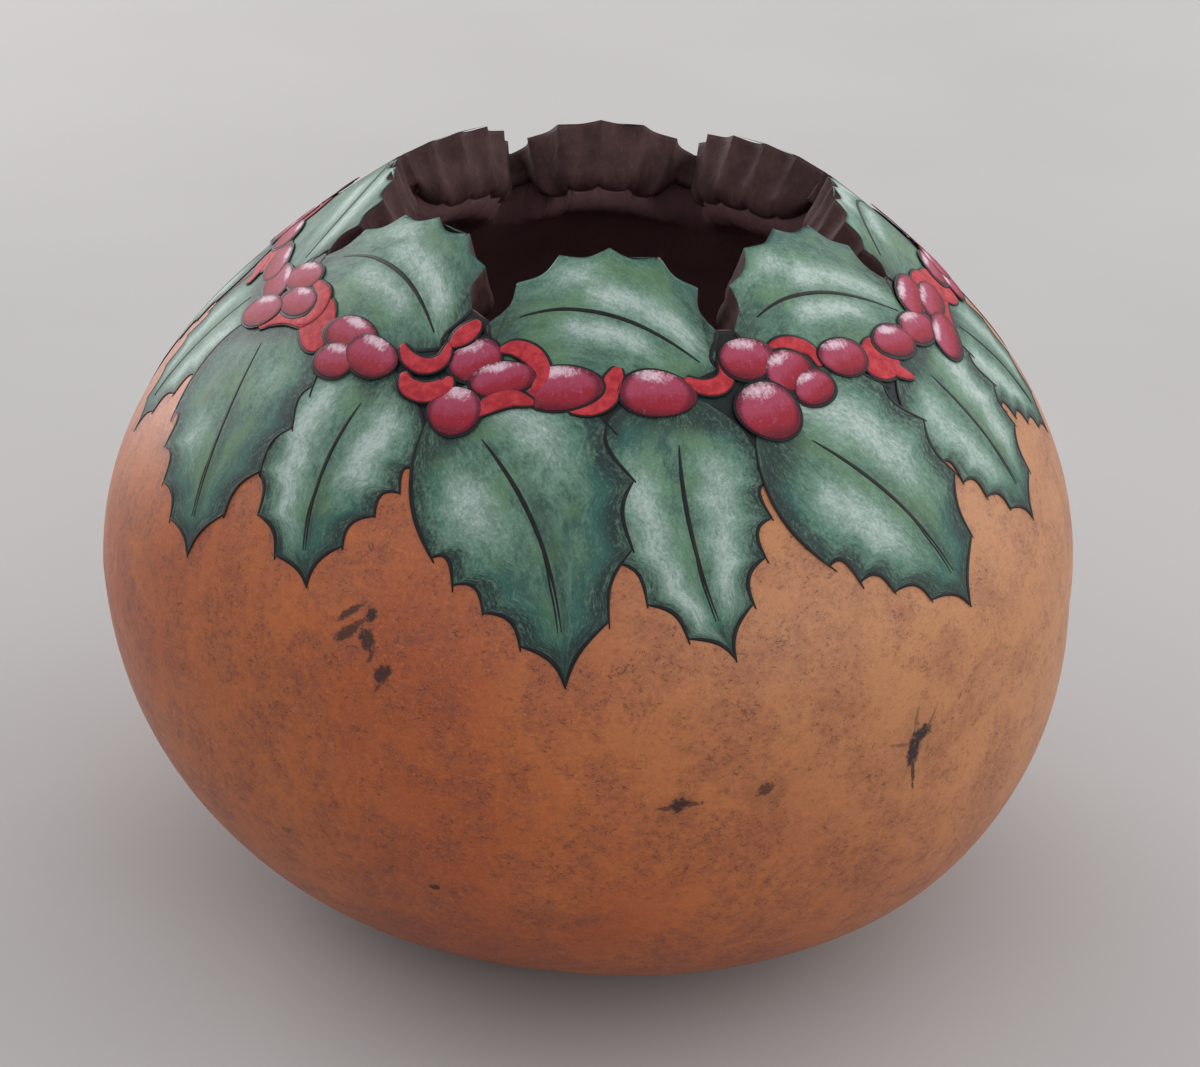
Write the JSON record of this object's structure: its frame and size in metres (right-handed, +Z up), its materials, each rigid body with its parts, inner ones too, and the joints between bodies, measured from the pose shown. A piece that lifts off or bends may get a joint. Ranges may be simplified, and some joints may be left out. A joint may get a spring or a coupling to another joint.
{
  "type": "decorative gourd bowl",
  "caption": "Round dried gourd with a thick woody wall, cut open at the shoulder along a leaf-shaped rim, dark inside and painted with a garland of holly leaves and berries.",
  "frame": {"origin": "on the resting surface, under the centre of the widest ring", "axes": "+Z up out of the mouth, -Y towards the front leaf of the rim, +X to the right seen from the front"},
  "size_m": [0.24, 0.24, 0.185],
  "materials": {
    "gourd_skin": "satin, mottled orange tan with fine pores",
    "inner_paint": "matt dark brown paint",
    "leaf_paint": "satin paint, dark teal green edges with pale brushed highlights",
    "berry_paint": "satin paint, pink red with white highlights"
  },
  "bodies": {
    "root": {"gourd_shell": "gourd_skin", "inner_coat": "inner_paint", "rim_leaf_1": "leaf_paint", "rim_leaf_2": "leaf_paint", "rim_leaf_3": "leaf_paint", "rim_leaf_4": "leaf_paint", "rim_leaf_5": "leaf_paint", "rim_leaf_6": "leaf_paint", "rim_leaf_7": "leaf_paint", "rim_leaf_8": "leaf_paint", "hanging_leaf_1": "leaf_paint", "hanging_leaf_2": "leaf_paint", "hanging_leaf_3": "leaf_paint", "hanging_leaf_4": "leaf_paint", "hanging_leaf_5": "leaf_paint", "hanging_leaf_6": "leaf_paint", "hanging_leaf_7": "leaf_paint", "hanging_leaf_8": "leaf_paint", "hanging_leaf_9": "leaf_paint", "hanging_leaf_10": "leaf_paint", "hanging_leaf_11": "leaf_paint", "hanging_leaf_12": "leaf_paint", "hanging_leaf_13": "leaf_paint", "hanging_leaf_14": "leaf_paint", "hanging_leaf_15": "leaf_paint", "hanging_leaf_16": "leaf_paint", "berry_spray_1": "berry_paint", "berry_spray_2": "berry_paint", "berry_spray_3": "berry_paint", "berry_spray_4": "berry_paint", "berry_spray_5": "berry_paint", "berry_spray_6": "berry_paint", "berry_spray_7": "berry_paint", "berry_spray_8": "berry_paint"}
  },
  "joints": []
}
